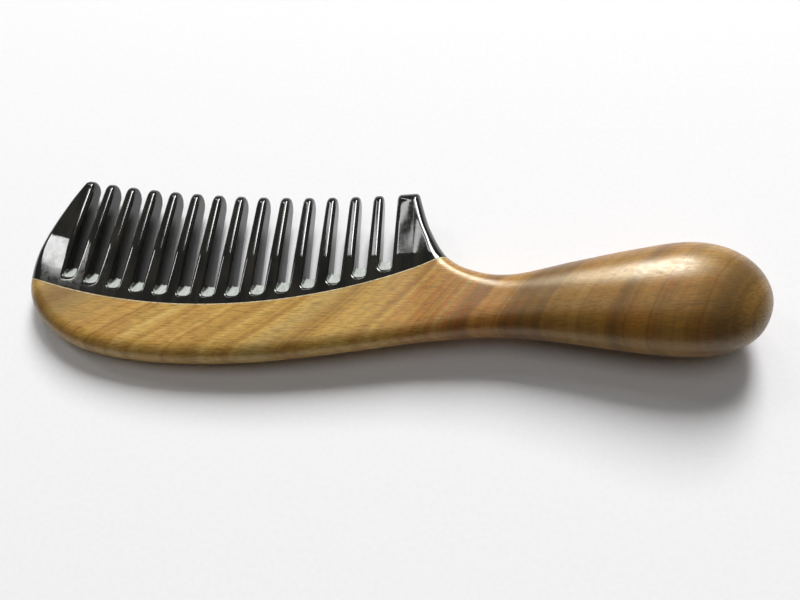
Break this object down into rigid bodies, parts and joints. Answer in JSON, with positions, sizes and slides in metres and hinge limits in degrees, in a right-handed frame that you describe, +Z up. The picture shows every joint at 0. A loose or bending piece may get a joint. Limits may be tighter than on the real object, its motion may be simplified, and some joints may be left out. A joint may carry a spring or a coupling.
{
  "type": "wide-tooth hair comb with handle",
  "caption": "Wide-tooth hair comb: a dark horn tooth blade with guard teeth, bonded into a wooden spine whose neck swells into an egg-shaped handle.",
  "frame": {"origin": "centre of the bounding box's footprint, on the surface that the comb lies on", "axes": "+X from the head to the handle, +Y towards the tooth tips, +Z up from the surface"},
  "size_m": [0.1784, 0.0524, 0.0199],
  "materials": {
    "wood": "satin oiled and polished hardwood, golden tan with olive and reddish-brown diagonal bands",
    "horn": "polished near-black natural horn, ground matt in the gap roots",
    "glue": "cured amber adhesive, sanded flush"
  },
  "bodies": {
    "root": {"wood_body": "wood", "glue_line": "glue", "horn_band": "horn", "guard_tooth_head": "horn", "guard_tooth_handle": "horn", "tooth_1": "horn", "tooth_2": "horn", "tooth_3": "horn", "tooth_4": "horn", "tooth_5": "horn", "tooth_6": "horn", "tooth_7": "horn", "tooth_8": "horn", "tooth_9": "horn", "tooth_10": "horn", "tooth_11": "horn", "tooth_12": "horn", "tooth_13": "horn"}
  },
  "joints": []
}
